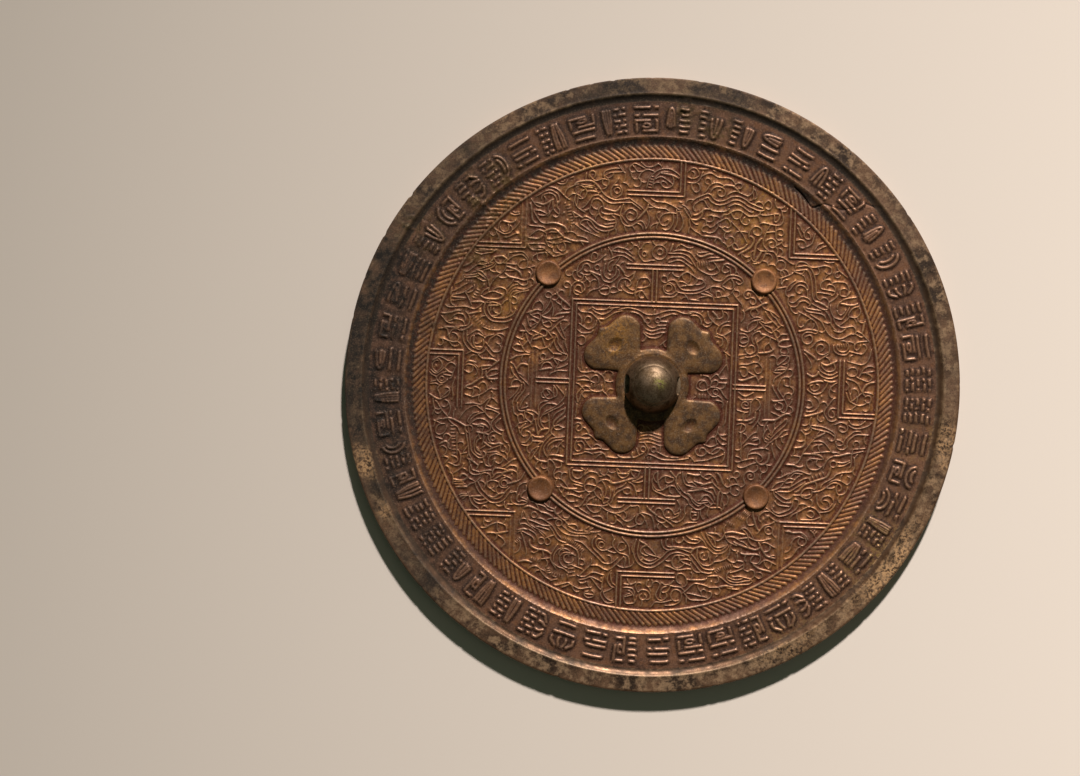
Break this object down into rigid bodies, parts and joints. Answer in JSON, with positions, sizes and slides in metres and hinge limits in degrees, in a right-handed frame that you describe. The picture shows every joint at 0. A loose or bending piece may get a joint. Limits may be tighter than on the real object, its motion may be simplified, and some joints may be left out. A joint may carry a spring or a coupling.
{
  "type": "bronze mirror",
  "caption": "Round cast bronze mirror lying on its polished face, its back up, with a thick rim, an inscription band, a comb band, a square, T, L and V marks, bosses and a pierced knob.",
  "frame": {"origin": "centre of the flat polished face that the mirror lies on", "axes": "+Z out of the decorated back, +X to the right and +Y to the top of the pattern, along the sides of its square"},
  "size_m": [0.187, 0.187, 0.0127],
  "materials": {
    "gilt_bronze": "cast bronze, gilt on the ornamented field, worn, with a brown and olive patina"
  },
  "bodies": {
    "root": {"bronze_mirror": "gilt_bronze"}
  },
  "joints": []
}
